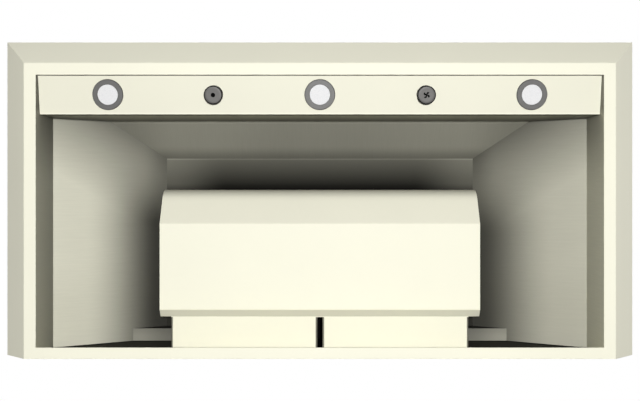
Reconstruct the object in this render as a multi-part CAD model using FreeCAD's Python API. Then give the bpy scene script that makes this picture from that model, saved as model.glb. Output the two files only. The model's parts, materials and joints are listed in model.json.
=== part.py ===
import FreeCAD
import Part
import math
import os

# Wall mount range hood with a removable twin blower housing.
# Millimetres. X to the right seen from the room, Y towards the wall, Z up.
# The wall plane is Y = 0 and the underside of the rim is Z = 0.

# casing
WIDTH = 1219.2
DEPTH = 609.6
HEIGHT = 457.2
SHEET = 1.2
BEVEL = 47.0
RIM_WIDTH = 22.3
REAR_RIM_WIDTH = 21.5
BAND_TOP = 203.2
TOP_DEPTH = 304.8
WALL_SCREW_INSET = 203.2
WALL_SCREW_LOW = 60.0
WALL_SCREW_RISE = 60.0
WALL_SCREW_HOLE_R = 4.0

# liner
LINER = 1.0
SIDE_LIP_TOP = 116.3
FRONT_LIP_TOP = 182.0
CEILING = 250.5
CEILING_SIDE_MARGIN = 13.3
CEILING_FRONT_MARGIN = 68.9
LINER_LAP = 14.0
LINER_REAR_GAP = 2.2
LEDGE_HEIGHT = 208.7
LEDGE_DEPTH = 29.4

# control panel
PANEL_RUN = 73.4
PANEL_LOW = 13.1
PANEL_RISE = 12.2
FITTING_ROW = 35.7
FIT = 0.3
RUN_FIT = 0.05

# lamps
LAMP_END = 133.2
LAMP_RING_R = 29.6
LAMP_RING_HEIGHT = 3.2
LAMP_VIEW_R = 19.4
LAMP_LIP = 1.4
LENS_R = 22.0
LENS_THICK = 2.4
LAMP_NECK_R = 25.5
LAMP_NECK_LENGTH = 14.0
LAMP_CAN_R = 29.0
LAMP_CAN_DEPTH = 44.0
LAMP_FLANGE_THICK = 2.5
LAMP_SINK_R = 18.0

# knobs and their rotary controls
KNOB_FROM_LAMP = 203.5
KNOB_R = 17.9
KNOB_HEIGHT = 15.0
KNOB_LIFT = 0.8
KNOB_EDGE = 1.2
KNOB_WALL = 3.5
KNOB_HOLLOW = 8.0
KNOB_FLUTES = 36
KNOB_FLUTE_R = 0.9
STEM_R = 3.0
STEM_GRIP = 6.0
STEM_DEPTH = 16.0
BUSH_R = 4.7
BUSH_OUT = 5.6
NUT_FLATS = 14.0
NUT_HEIGHT = 2.4
CONTROL_WIDTH = 34.0
CONTROL_HEIGHT = 30.0
CONTROL_DEPTH = 24.0

# blower housing
HOUSING_HALF = 318.3
HOUSING_DEPTH = 253.4
HOUSING_BOTTOM = 80.0
HOUSING_CREASE = 67.9
HOUSING_RAMP = 33.0
HOUSING_BEND_R = 46.0
HOUSING_HEEL_RUN = 15.0
HOUSING_HEEL_RISE = 10.7
HOUSING_SHEET = 1.0

# exhaust chutes
CHUTE_DEPTH = 67.0
CHUTE_HALF = 297.4
CHUTE_GAP = 10.0
CHUTE_BOTTOM = 91.0
CHUTE_EDGE_R = 5.0
CHUTE_SHEET = 1.0
BACK_PLATE = 1.2
MOUTH_WIDTH = 180.0
MOUTH_LOW = 130.0
MOUTH_HIGH = 225.0

# wheels and motors
AXLE_BEHIND_FRONT = 132.0
AXLE_HEIGHT = 165.0
WHEEL_R = 75.0
WHEEL_EYE_R = 61.0
WHEEL_LENGTH = 108.0
WHEEL_END_GAP = 16.0
WHEEL_DISC = 2.0
WHEEL_RING = 3.0
WHEEL_BLADES = 36
WHEEL_BLADE = 0.9
WHEEL_BLADE_SWEEP = 13.0
HUB_R = 12.0
HUB_LENGTH = 32.0
SHAFT_R = 4.0
SHAFT_LENGTH = 130.0
MOTOR_R = 52.0
MOTOR_LENGTH = 104.0
MOTOR_BOSS_R = 15.0
MOTOR_BOSS = 5.0
MOTOR_HUB_GAP = 4.0
MOTOR_EDGE_R = 6.0
MOTOR_BOLT_CIRCLE = 40.0
BRACKET = 2.0
BRACKET_HALF = 60.0
BRACKET_FOOT = 34.0
BOLT_R = 2.5
BOLT_HEAD_R = 4.5
BOLT_HEAD = 3.0
INLET_R = 64.0
INLET_FLANGE_R = 78.0
INLET_LIP = 4.5
INLET_NECK = 10.0
INLET_SHEET = 1.5
CAPACITOR_R = 17.0
CAPACITOR_HEIGHT = 62.0
CAPACITOR_FROM_MID = 150.0
LEAD_HOLE_R = 8.0
LEAD_BEHIND_FRONT = 24.0

# housing catches
CATCH = 0.8
CATCH_WIDTH = 16.0
CATCH_DROP = 22.0
CATCH_FOOT = 18.0
CATCH_INSET = 40.0

# plenum, duct collar and damper
PLENUM_MARGIN = 8.0
PLENUM_DEPTH = 270.0
PLENUM_SHEET = 1.0
COLLAR_R = 100.8
COLLAR_WALL = 1.2
COLLAR_HEIGHT = 62.0
COLLAR_FLANGE_R = 124.0
COLLAR_SCREW_CIRCLE = 114.0
COLLAR_SCREWS = 8
STOP_WIDTH = 6.0
STOP_THICK = 1.2
DAMPER_LIFT = 24.0
DAMPER_PIN_R = 2.5
DAMPER_EYE_R = 4.0
DAMPER_SHEET = 0.8
DAMPER_RIM_GAP = 1.5
DAMPER_SPLIT = 5.0
DAMPER_EYE_LENGTH = 18.0
DAMPER_EYE_NEAR = 12.0
DAMPER_EYE_STEP = 26.0
DAMPER_NOTCH = 5.0
SCREW_R = 2.0
SCREW_HEAD_R = 4.0
SCREW_HEAD = 2.4
SCREW_LENGTH = 9.0
HOLE_PLAY = 0.1

# supply
BOX_WIDTH = 110.0
BOX_DEPTH = 90.0
BOX_HEIGHT = 44.0
BOX_SHEET = 1.2
BOX_FROM_PLENUM = 60.0
BOX_FROM_WALL = 40.0
BOX_TAB = 12.0
GLAND_R = 11.0
GLAND_BORE_R = 6.0
GLAND_FLANGE_R = 15.0
GLAND_FLANGE = 3.0
GLAND_RISE = 16.0
GLAND_TAIL = 8.0
GLAND_NUT_R = 15.0
GLAND_NUT = 4.0
CONDUIT_R = 6.0
CONDUIT_BEND_R = 40.0
CONDUIT_DROP = 110.0

# sizes that follow from those above
BACK = -SHEET
RIM_OUTER_X = WIDTH / 2 - BEVEL
RIM_INNER_X = RIM_OUTER_X - RIM_WIDTH
RIM_INNER_Y = -(DEPTH - BEVEL - RIM_WIDTH)
RETURN_Y = RIM_INNER_Y + PANEL_RUN
PANEL_TILT = math.degrees(math.atan2(PANEL_RISE, PANEL_RUN))
ROW_Y = RIM_INNER_Y + FITTING_ROW
ROW_Z = PANEL_LOW + PANEL_RISE * FITTING_ROW / PANEL_RUN
LAMP_X = RIM_INNER_X - LAMP_END
KNOB_X = LAMP_X - KNOB_FROM_LAMP

CHUTE_FRONT = BACK - CHUTE_DEPTH
PLATE_FRONT = CHUTE_FRONT - BACK_PLATE
HOUSING_REAR = PLATE_FRONT - FIT
HOUSING_FRONT = HOUSING_REAR - HOUSING_DEPTH
HOUSING_TOP = CEILING - FIT
CEILING_HALF = HOUSING_HALF + CEILING_SIDE_MARGIN
CEILING_FRONT = HOUSING_FRONT - CEILING_FRONT_MARGIN
CEILING_TOP = CEILING + LINER
CHUTE_MID = (CHUTE_HALF + CHUTE_GAP / 2) / 2

AXLE_Y = HOUSING_FRONT + AXLE_BEHIND_FRONT
WHEEL_OUT = HOUSING_HALF - WHEEL_END_GAP
WHEEL_IN = WHEEL_OUT - WHEEL_LENGTH
BOSS_OUT = WHEEL_IN - MOTOR_HUB_GAP
MOTOR_OUT = BOSS_OUT - MOTOR_BOSS - BRACKET
MOTOR_IN = MOTOR_OUT - MOTOR_LENGTH

COLLAR_Y = -TOP_DEPTH / 2
COLLAR_BORE = COLLAR_R - COLLAR_WALL
DAMPER_Z = HEIGHT + DAMPER_LIFT
FLAP_R = COLLAR_BORE - DAMPER_RIM_GAP
PLENUM_HALF = CHUTE_HALF + PLENUM_MARGIN
BOX_RIGHT = -(PLENUM_HALF + BOX_FROM_PLENUM)
BOX_LEFT = BOX_RIGHT - BOX_WIDTH
BOX_REAR = -BOX_FROM_WALL
BOX_FRONT = BOX_REAR - BOX_DEPTH
BOX_TOP = HEIGHT - SHEET
BOX_BOTTOM = BOX_TOP - BOX_HEIGHT
GLAND_X = (BOX_LEFT + BOX_RIGHT) / 2
GLAND_Y = (BOX_FRONT + BOX_REAR) / 2

X_AXIS = FreeCAD.Vector(1, 0, 0)
Y_AXIS = FreeCAD.Vector(0, 1, 0)
Z_AXIS = FreeCAD.Vector(0, 0, 1)
FAR = 2 * WIDTH


def point(x, y, z):
    return FreeCAD.Vector(x, y, z)


def block(x, y, z):
    """Box between two values on each axis."""
    corner = point(min(x), min(y), min(z))
    return Part.makeBox(abs(x[1] - x[0]), abs(y[1] - y[0]), abs(z[1] - z[0]), corner)


def rod(radius, base, axis, length):
    return Part.makeCylinder(radius, length, base, axis)


def tube(outer, inner, base, axis, length):
    return rod(outer, base, axis, length).cut(rod(inner, base, axis, length))


def swept(points, travel):
    """Solid from a closed row of points pushed along a vector."""
    face = Part.Face(Part.makePolygon(points + points[:1]))
    return face.extrude(travel)


def along_x(outline, x):
    points = [point(x[0], y, z) for y, z in outline]
    return swept(points, point(x[1] - x[0], 0, 0))


def along_y(outline, y):
    points = [point(x, y[0], z) for x, z in outline]
    return swept(points, point(0, y[1] - y[0], 0))


def along_z(outline, z):
    points = [point(x, y, z[0]) for x, y in outline]
    return swept(points, point(0, 0, z[1] - z[0]))


def meet(first, second):
    """Point where two lines a*u + b*v = c meet."""
    a, b, c = first
    d, e, f = second
    area = a * e - b * d
    return ((c * e - b * f) / area, (a * f - c * d) / area)


def line_beside(start, end, distance):
    """Line through two points, moved to its left by a distance."""
    run = end[0] - start[0]
    rise = end[1] - start[1]
    length = math.hypot(run, rise)
    a = -rise / length
    b = run / length
    return (a, b, a * start[0] + b * start[1] + distance)


def bent_sheet(path, thickness):
    """Outline of a sheet bent along a path, its thickness on the left of the path."""
    pairs = list(zip(path, path[1:]))
    lines = [line_beside(start, end, thickness) for start, end in pairs]
    first = lines[0]
    last = lines[-1]
    offset = [(path[0][0] + first[0] * thickness, path[0][1] + first[1] * thickness)]
    for before, after in zip(lines, lines[1:]):
        offset.append(meet(before, after))
    offset.append((path[-1][0] + last[0] * thickness, path[-1][1] + last[1] * thickness))
    return path + offset[::-1]


def turned(profile, base, axis):
    """Solid of revolution from a closed (radius, height) profile."""
    points = [point(r, 0, h) for r, h in profile]
    face = Part.Face(Part.makePolygon(points + points[:1]))
    solid = face.revolve(point(0, 0, 0), Z_AXIS, 360)
    solid.Placement = FreeCAD.Placement(base, FreeCAD.Rotation(Z_AXIS, axis))
    return solid


def hexagon(flats, base, axis, height):
    corner = flats / math.sqrt(3)
    turns = [math.radians(60 * step) for step in range(6)]
    points = [point(corner * math.cos(t), corner * math.sin(t), 0) for t in turns]
    solid = swept(points, point(0, 0, height))
    solid.Placement = FreeCAD.Placement(base, FreeCAD.Rotation(Z_AXIS, axis))
    return solid


def mirrored(shape):
    return shape.mirror(point(0, 0, 0), X_AXIS)


def on_panel(shape, x):
    """Moves a shape from the control panel's own frame, z into the casing, to its place."""
    frame = FreeCAD.Placement(
        point(x, ROW_Y, ROW_Z), FreeCAD.Rotation(X_AXIS, PANEL_TILT)
    )
    placed = shape.copy()
    placed.Placement = frame.multiply(placed.Placement)
    return placed


def fused(shapes):
    return shapes[0].multiFuse(shapes[1:]).removeSplitter()


def save(name, shape):
    shape.exportStep(os.path.join("parts", name + ".step"))


def save_pair(name, right):
    save(name + "_right", right)
    save(name + "_left", mirrored(right))


def save_group(name, shapes):
    save(name, Part.makeCompound(shapes))


def screw(base, axis, length):
    """Pan head screw, its head on the base point and its shank along the axis."""
    shank = rod(SCREW_R, base, axis, length)
    head = rod(SCREW_HEAD_R, base - axis * SCREW_HEAD, axis, SCREW_HEAD)
    slot_base = base - axis * SCREW_HEAD
    slot = hexagon(SCREW_R * 1.5, slot_base, axis, SCREW_HEAD / 2)
    return fused([shank, head]).cut(slot)


def casing(inset):
    """The whole casing as a solid, every face moved in by an inset."""
    root = math.sqrt(2)
    front_low = (-DEPTH, BAND_TOP)
    front_high = (-TOP_DEPTH, HEIGHT)
    back = (1, 0, -inset)
    bottom = (0, 1, inset)
    bevel = (1, 1, -(DEPTH - BEVEL) + inset * root)
    front = (1, 0, -DEPTH + inset)
    slope = line_beside(front_low, front_high, -inset)
    top = (0, 1, HEIGHT - inset)
    sides = [back, bottom, bevel, front, slope, top]
    outline = [meet(one, two) for one, two in zip(sides, sides[1:] + sides[:1])]
    half = WIDTH / 2 - inset
    solid = along_x(outline, (-half, half))
    edge = RIM_OUTER_X - inset * root
    reach = 2 * BEVEL
    wedge = along_y(
        [(edge - BEVEL, -BEVEL), (edge + reach, -BEVEL), (edge + reach, reach)], (-FAR, FAR)
    )
    return solid.cut(wedge).cut(mirrored(wedge))


def casing_panels():
    whole = casing(0)
    shell = whole.cut(casing(SHEET))
    low = block((-FAR, FAR), (-FAR, FAR), (-FAR, SHEET))
    high = block((-FAR, FAR), (-FAR, FAR), (HEIGHT - SHEET, FAR))
    rear = block((-FAR, FAR), (BACK, FAR), (-FAR, FAR))

    mouth = block((-RIM_INNER_X, RIM_INNER_X), (RIM_INNER_Y, -REAR_RIM_WIDTH), (-SHEET, 2 * SHEET))
    save("bottom_rim", whole.common(low).cut(mouth).cut(rear).removeSplitter())

    walls = shell.cut(low).cut(high).cut(rear)
    corner = [(WIDTH / 2 + 1, -DEPTH - 1), (WIDTH / 2 - DEPTH - 1, 1), (WIDTH / 2 + 1, 1)]
    mitre = along_z(corner, (-SHEET, BAND_TOP))
    slab = block((WIDTH / 2 - SHEET, WIDTH), (-FAR, FAR), (BAND_TOP, FAR))
    side_zone = fused([mitre, slab])
    side = walls.common(side_zone).removeSplitter()
    save_pair("side_panel", side)
    save("front_panel", walls.cut(side_zone).cut(mirrored(side_zone)).removeSplitter())

    top = whole.common(high)
    duct = rod(COLLAR_BORE, point(0, COLLAR_Y, 0), Z_AXIS, FAR)
    gland = rod(GLAND_R + HOLE_PLAY, point(GLAND_X, GLAND_Y, 0), Z_AXIS, FAR)
    top = top.cut(duct).cut(gland)
    for place in collar_screw_places():
        top = top.cut(rod(SCREW_R + HOLE_PLAY, point(place.x, place.y, 0), Z_AXIS, FAR))
    for place in box_screw_places():
        top = top.cut(rod(SCREW_R + HOLE_PLAY, point(place.x, place.y, 0), Z_AXIS, FAR))
    save("top_panel", top.removeSplitter())

    back = whole.common(rear).cut(high)
    for x in (-1, 1):
        for step in (0, 1):
            spot = point(
                x * (WIDTH / 2 - WALL_SCREW_INSET), -FAR, WALL_SCREW_LOW + step * WALL_SCREW_RISE
            )
            back = back.cut(rod(WALL_SCREW_HOLE_R, spot, Y_AXIS, 2 * FAR))
    save("back_panel", back.removeSplitter())


def slope_path():
    """Visible line of the right liner in x and z, from the rim up to the ceiling."""
    return [(RIM_INNER_X, SHEET), (RIM_INNER_X, SIDE_LIP_TOP), (CEILING_HALF, CEILING)]


def inside_slopes(offset):
    """Space between the two side slopes, each moved out by an offset."""
    start = (RIM_INNER_X, SIDE_LIP_TOP)
    line = line_beside(start, (CEILING_HALF, CEILING), -offset)
    low = meet(line, (0, 1, SIDE_LIP_TOP))
    high = meet(line, (0, 1, CEILING_TOP))
    outline = [low, high, (-high[0], high[1]), (-low[0], low[1])]
    return along_y(outline, (-DEPTH, 0))


def liner():
    above = block((-FAR, FAR), (-FAR, FAR), (CEILING, FAR))
    ahead = block((-FAR, FAR), (-FAR, RETURN_Y), (SIDE_LIP_TOP, FAR))
    hip = [
        (RETURN_Y, FRONT_LIP_TOP),
        (CEILING_FRONT, CEILING),
        (CEILING_FRONT, HEIGHT),
        (RETURN_Y, HEIGHT),
    ]
    over_front = along_x(hip, (-FAR, FAR))
    over_ledge = block((-FAR, FAR), (-LEDGE_DEPTH, FAR), (LEDGE_HEIGHT, FAR))
    rear = BACK - LINER_REAR_GAP
    side = along_y(bent_sheet(slope_path(), -LINER), (RIM_INNER_Y, rear))
    side = side.cut(above).cut(ahead).cut(over_front).cut(over_ledge)
    save_pair("liner", side.removeSplitter())

    run = CEILING_FRONT - RETURN_Y
    rise = CEILING - FRONT_LIP_TOP
    path = [
        (RETURN_Y - run, FRONT_LIP_TOP - rise),
        (CEILING_FRONT + run, CEILING + rise),
    ]
    front = along_x(bent_sheet(path, LINER), (-FAR, FAR))
    keep = block((-FAR, FAR), (RETURN_Y, FAR), (SIDE_LIP_TOP, CEILING))
    save("liner_front", front.common(keep).common(inside_slopes(LINER)).removeSplitter())

    half = CEILING_HALF + LINER_LAP
    plate = block((-half, half), (CEILING_FRONT - LINER_LAP, BACK), (CEILING, CEILING_TOP))
    inner = chute_space(CHUTE_SHEET, FAR)
    plate = plate.cut(inner).cut(mirrored(inner))
    for x in (-MOTOR_IN, MOTOR_IN):
        lead = point(x, HOUSING_FRONT + LEAD_BEHIND_FRONT, 0)
        plate = plate.cut(rod(LEAD_HOLE_R, lead, Z_AXIS, FAR))
    save("ceiling_plate", plate)

    clear = CHUTE_HALF + FIT
    shelf = block((clear, FAR), (-LEDGE_DEPTH, rear), (LEDGE_HEIGHT, LEDGE_HEIGHT + LINER))
    riser = block((clear, FAR), (-LEDGE_DEPTH, LINER - LEDGE_DEPTH), (LEDGE_HEIGHT, CEILING))
    ledge = fused([shelf, riser]).common(inside_slopes(LINER))
    save_pair("rear_ledge", ledge.removeSplitter())


def control_panel():
    path = [
        (RIM_INNER_Y, SHEET),
        (RIM_INNER_Y, PANEL_LOW),
        (RETURN_Y, PANEL_LOW + PANEL_RISE),
        (RETURN_Y, FRONT_LIP_TOP + LINER_LAP),
    ]
    half = RIM_INNER_X - FIT
    panel = along_x(bent_sheet(path, SHEET), (-half, half))
    for x in (-LAMP_X, 0, LAMP_X):
        hole = rod(LAMP_NECK_R + FIT, point(0, 0, -SHEET), Z_AXIS, 4 * SHEET)
        panel = panel.cut(on_panel(hole, x))
    for x in (-KNOB_X, KNOB_X):
        hole = rod(BUSH_R + HOLE_PLAY, point(0, 0, -SHEET), Z_AXIS, 4 * SHEET)
        panel = panel.cut(on_panel(hole, x))
    save("control_panel", panel.removeSplitter())


def lamps():
    seat = LAMP_LIP - LAMP_RING_HEIGHT
    bore = LENS_R + FIT
    ring_profile = [
        (LAMP_VIEW_R, seat),
        (LAMP_VIEW_R, seat - LAMP_LIP / 2),
        (LAMP_VIEW_R + LAMP_LIP / 2, -LAMP_RING_HEIGHT),
        (LAMP_RING_R - LAMP_LIP, -LAMP_RING_HEIGHT),
        (LAMP_RING_R, seat),
        (LAMP_RING_R, 0),
        (LAMP_NECK_R, 0),
        (LAMP_NECK_R, LAMP_NECK_LENGTH),
        (bore, LAMP_NECK_LENGTH),
        (bore, seat),
    ]
    lens_profile = [
        (0, seat - LAMP_LIP / 4),
        (LAMP_VIEW_R - FIT, seat - LAMP_LIP / 4),
        (LAMP_VIEW_R - FIT, seat),
        (LENS_R, seat),
        (LENS_R, seat + LENS_THICK),
        (0, seat + LENS_THICK),
    ]
    can_top = SHEET + LAMP_CAN_DEPTH
    can_profile = [
        (LAMP_CAN_R - SHEET, SHEET),
        (LAMP_CAN_R, SHEET),
        (LAMP_CAN_R, can_top),
        (0, can_top),
        (0, can_top - SHEET),
        (LAMP_CAN_R - SHEET, can_top - SHEET),
    ]
    flange_top = LAMP_NECK_LENGTH + LAMP_FLANGE_THICK
    module_profile = [
        (0, LAMP_NECK_LENGTH),
        (LAMP_NECK_R, LAMP_NECK_LENGTH),
        (LAMP_NECK_R, flange_top),
        (LAMP_SINK_R, flange_top),
        (LAMP_SINK_R, can_top - SHEET),
        (0, can_top - SHEET),
    ]
    origin = point(0, 0, 0)
    places = (("left", -LAMP_X), ("centre", 0), ("right", LAMP_X))
    for side, x in places:
        save("lamp_ring_" + side, on_panel(turned(ring_profile, origin, Z_AXIS), x))
        save("lamp_lens_" + side, on_panel(turned(lens_profile, origin, Z_AXIS), x))
        save("lamp_can_" + side, on_panel(turned(can_profile, origin, Z_AXIS), x))
        save("lamp_module_" + side, on_panel(turned(module_profile, origin, Z_AXIS), x))


def knob():
    """Fluted knob in the panel's frame, hollow behind, its face away from the panel."""
    near = -KNOB_LIFT
    far = near - KNOB_HEIGHT
    profile = [
        (STEM_R, near - KNOB_HOLLOW),
        (KNOB_R - KNOB_WALL, near - KNOB_HOLLOW),
        (KNOB_R - KNOB_WALL, near),
        (KNOB_R, near),
        (KNOB_R, far + KNOB_EDGE),
        (KNOB_R - KNOB_EDGE, far),
        (0, far),
        (0, near - KNOB_HOLLOW - STEM_GRIP),
        (STEM_R, near - KNOB_HOLLOW - STEM_GRIP),
    ]
    body = turned(profile, point(0, 0, 0), Z_AXIS)
    flutes = []
    length = KNOB_HEIGHT - 3 * KNOB_EDGE
    for step in range(KNOB_FLUTES):
        turn = 2 * math.pi * step / KNOB_FLUTES
        spot = point(KNOB_R * math.cos(turn), KNOB_R * math.sin(turn), near - length)
        flutes.append(rod(KNOB_FLUTE_R, spot, Z_AXIS, length + KNOB_LIFT))
    return body.cut(Part.makeCompound(flutes))


def controls():
    grip_end = -KNOB_LIFT - KNOB_HOLLOW - STEM_GRIP
    stem = rod(STEM_R, point(0, 0, grip_end), Z_AXIS, STEM_DEPTH - grip_end)
    bush = rod(BUSH_R, point(0, 0, -BUSH_OUT), Z_AXIS, SHEET + BUSH_OUT)
    half_x = CONTROL_WIDTH / 2
    half_y = CONTROL_HEIGHT / 2
    body = block((-half_x, half_x), (-half_y, half_y), (SHEET, SHEET + CONTROL_DEPTH))
    bore = rod(STEM_R + RUN_FIT, point(0, 0, -FAR), Z_AXIS, FAR + STEM_DEPTH + FIT)
    control = fused([bush, body]).cut(bore)
    nut = hexagon(NUT_FLATS, point(0, 0, -NUT_HEIGHT), Z_AXIS, NUT_HEIGHT)
    nut = nut.cut(rod(BUSH_R, point(0, 0, -NUT_HEIGHT), Z_AXIS, NUT_HEIGHT))
    for name, x in (("light", -KNOB_X), ("fan", KNOB_X)):
        save(name + "_knob", on_panel(knob(), x))
        save(name + "_control_stem", on_panel(stem, x))
        save(name + "_control", on_panel(control, x))
    save_group("control_nuts", [on_panel(nut, -KNOB_X), on_panel(nut, KNOB_X)])


def housing_outline(inset, top, rear):
    """Outline of the blower housing in y and z, its sheet faces moved in by an inset."""
    ramp = math.radians(HOUSING_RAMP)
    bend = HOUSING_BEND_R
    ramp_run = HOUSING_CREASE - bend * (1 - math.sin(ramp))
    centre_y = HOUSING_FRONT + bend
    centre_z = HOUSING_BOTTOM + bend * math.cos(ramp) + ramp_run * math.tan(ramp)
    radius = bend - inset
    start = (HOUSING_FRONT + inset, centre_z)
    mid_turn = (math.pi + math.pi * 1.5 - ramp) / 2
    middle = (centre_y + radius * math.cos(mid_turn), centre_z + radius * math.sin(mid_turn))
    end = (centre_y - radius * math.sin(ramp), centre_z - radius * math.cos(ramp))
    floor = (0, 1, HOUSING_BOTTOM + inset)
    ramp_line = line_beside(end, (end[0] + math.cos(ramp), end[1] - math.sin(ramp)), 0)
    crease = meet(ramp_line, floor)
    heel_low = (HOUSING_REAR - HOUSING_HEEL_RUN, HOUSING_BOTTOM)
    heel_high = (HOUSING_REAR, HOUSING_BOTTOM + HOUSING_HEEL_RISE)
    heel_line = line_beside(heel_low, heel_high, inset)
    heel = meet(floor, heel_line)
    last = meet(heel_line, (1, 0, rear))
    return {
        "start": start,
        "middle": middle,
        "end": end,
        "rest": [end, crease, heel, last, (rear, top), (start[0], top), start],
    }


def housing_solid(inset, top, rear, half):
    outline = housing_outline(inset, top, rear)

    def at(pair):
        return point(-half, pair[0], pair[1])

    arc = Part.Arc(at(outline["start"]), at(outline["middle"]), at(outline["end"]))
    edges = [arc.toShape()]
    for one, two in zip(outline["rest"], outline["rest"][1:]):
        edges.append(Part.makeLine(at(one), at(two)))
    face = Part.Face(Part.Wire(edges))
    return face.extrude(point(2 * half, 0, 0))


def blower_housing():
    outer = housing_solid(0, HOUSING_TOP, HOUSING_REAR, HOUSING_HALF)
    inner = housing_solid(
        HOUSING_SHEET, HOUSING_TOP + LINER, HOUSING_REAR + LINER, HOUSING_HALF - HOUSING_SHEET
    )
    eyes = rod(INLET_R, point(-FAR, AXLE_Y, AXLE_HEIGHT), X_AXIS, 2 * FAR)
    save("blower_housing", outer.cut(inner).cut(eyes).removeSplitter())

    flange = -HOUSING_SHEET - INLET_SHEET
    neck_r = INLET_R - 2 * INLET_SHEET
    profile = [
        (INLET_R, 0),
        (INLET_R, -HOUSING_SHEET),
        (INLET_FLANGE_R, -HOUSING_SHEET),
        (INLET_FLANGE_R, flange),
        (INLET_R, flange),
        (neck_r + INLET_SHEET, -INLET_LIP),
        (neck_r + INLET_SHEET, -INLET_NECK),
        (neck_r, -INLET_NECK),
        (neck_r, -INLET_LIP),
        (neck_r + INLET_SHEET / 2, -INLET_LIP / 3),
        (INLET_R - INLET_SHEET / 2, 0),
    ]
    ring = turned(profile, point(HOUSING_HALF, AXLE_Y, AXLE_HEIGHT), X_AXIS)
    save_pair("inlet_ring", ring)


def rounded_section(x, z, radius, y):
    """Face of a box section in x and z, its two lower corners rounded."""
    lean = radius * (1 - math.sqrt(0.5))
    low_left = [
        point(x[0], y, z[0] + radius),
        point(x[0] + lean, y, z[0] + lean),
        point(x[0] + radius, y, z[0]),
    ]
    low_right = [
        point(x[1] - radius, y, z[0]),
        point(x[1] - lean, y, z[0] + lean),
        point(x[1], y, z[0] + radius),
    ]
    high_right = point(x[1], y, z[1])
    high_left = point(x[0], y, z[1])
    edges = [
        Part.Arc(*low_left).toShape(),
        Part.makeLine(low_left[2], low_right[0]),
        Part.Arc(*low_right).toShape(),
        Part.makeLine(low_right[2], high_right),
        Part.makeLine(high_right, high_left),
        Part.makeLine(high_left, low_left[0]),
    ]
    return Part.Face(Part.Wire(edges))


def chute_space(inset, top):
    """Solid of the right exhaust chute with its walls moved in by an inset."""
    x = (CHUTE_GAP / 2 + inset, CHUTE_HALF - inset)
    y = (CHUTE_FRONT + inset, BACK - inset)
    section = rounded_section(x, (CHUTE_BOTTOM + inset, top), CHUTE_EDGE_R - inset, y[0])
    return section.extrude(point(0, y[1] - y[0], 0))


def chutes():
    half = MOUTH_WIDTH / 2
    mouth = block((CHUTE_MID - half, CHUTE_MID + half), (-DEPTH, BACK - SHEET), (MOUTH_LOW, MOUTH_HIGH))
    front_only = block((-FAR, FAR), (-FAR, CHUTE_FRONT + 2 * CHUTE_SHEET), (-FAR, FAR))
    mouth = mouth.common(front_only)
    chute = chute_space(0, CEILING).cut(chute_space(CHUTE_SHEET, CEILING + LINER)).cut(mouth)
    save_pair("exhaust_chute", chute)

    width = HOUSING_HALF
    plate = block((-width, width), (PLATE_FRONT, CHUTE_FRONT), (CHUTE_BOTTOM, CEILING))
    save("blower_back_plate", plate.cut(mouth).cut(mirrored(mouth)))


def blade(x):
    """One curved blade of a wheel, between two x values."""
    middle_r = (WHEEL_R + WHEEL_EYE_R) / 2
    sweep = math.radians(WHEEL_BLADE_SWEEP)
    radii = (WHEEL_EYE_R, middle_r, WHEEL_R)
    turns = (0, sweep / 4, sweep)
    sides = []
    for sign in (-1, 1):
        row = []
        for radius, turn in zip(radii, turns):
            angle = turn + sign * WHEEL_BLADE / 2 / radius
            row.append(point(x[0], radius * math.cos(angle), radius * math.sin(angle)))
        sides.append(row)
    edges = [
        Part.Arc(*sides[0]).toShape(),
        Part.makeLine(sides[0][2], sides[1][2]),
        Part.Arc(*sides[1][::-1]).toShape(),
        Part.makeLine(sides[1][0], sides[0][0]),
    ]
    return Part.Face(Part.Wire(edges)).extrude(point(x[1] - x[0], 0, 0))


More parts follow.
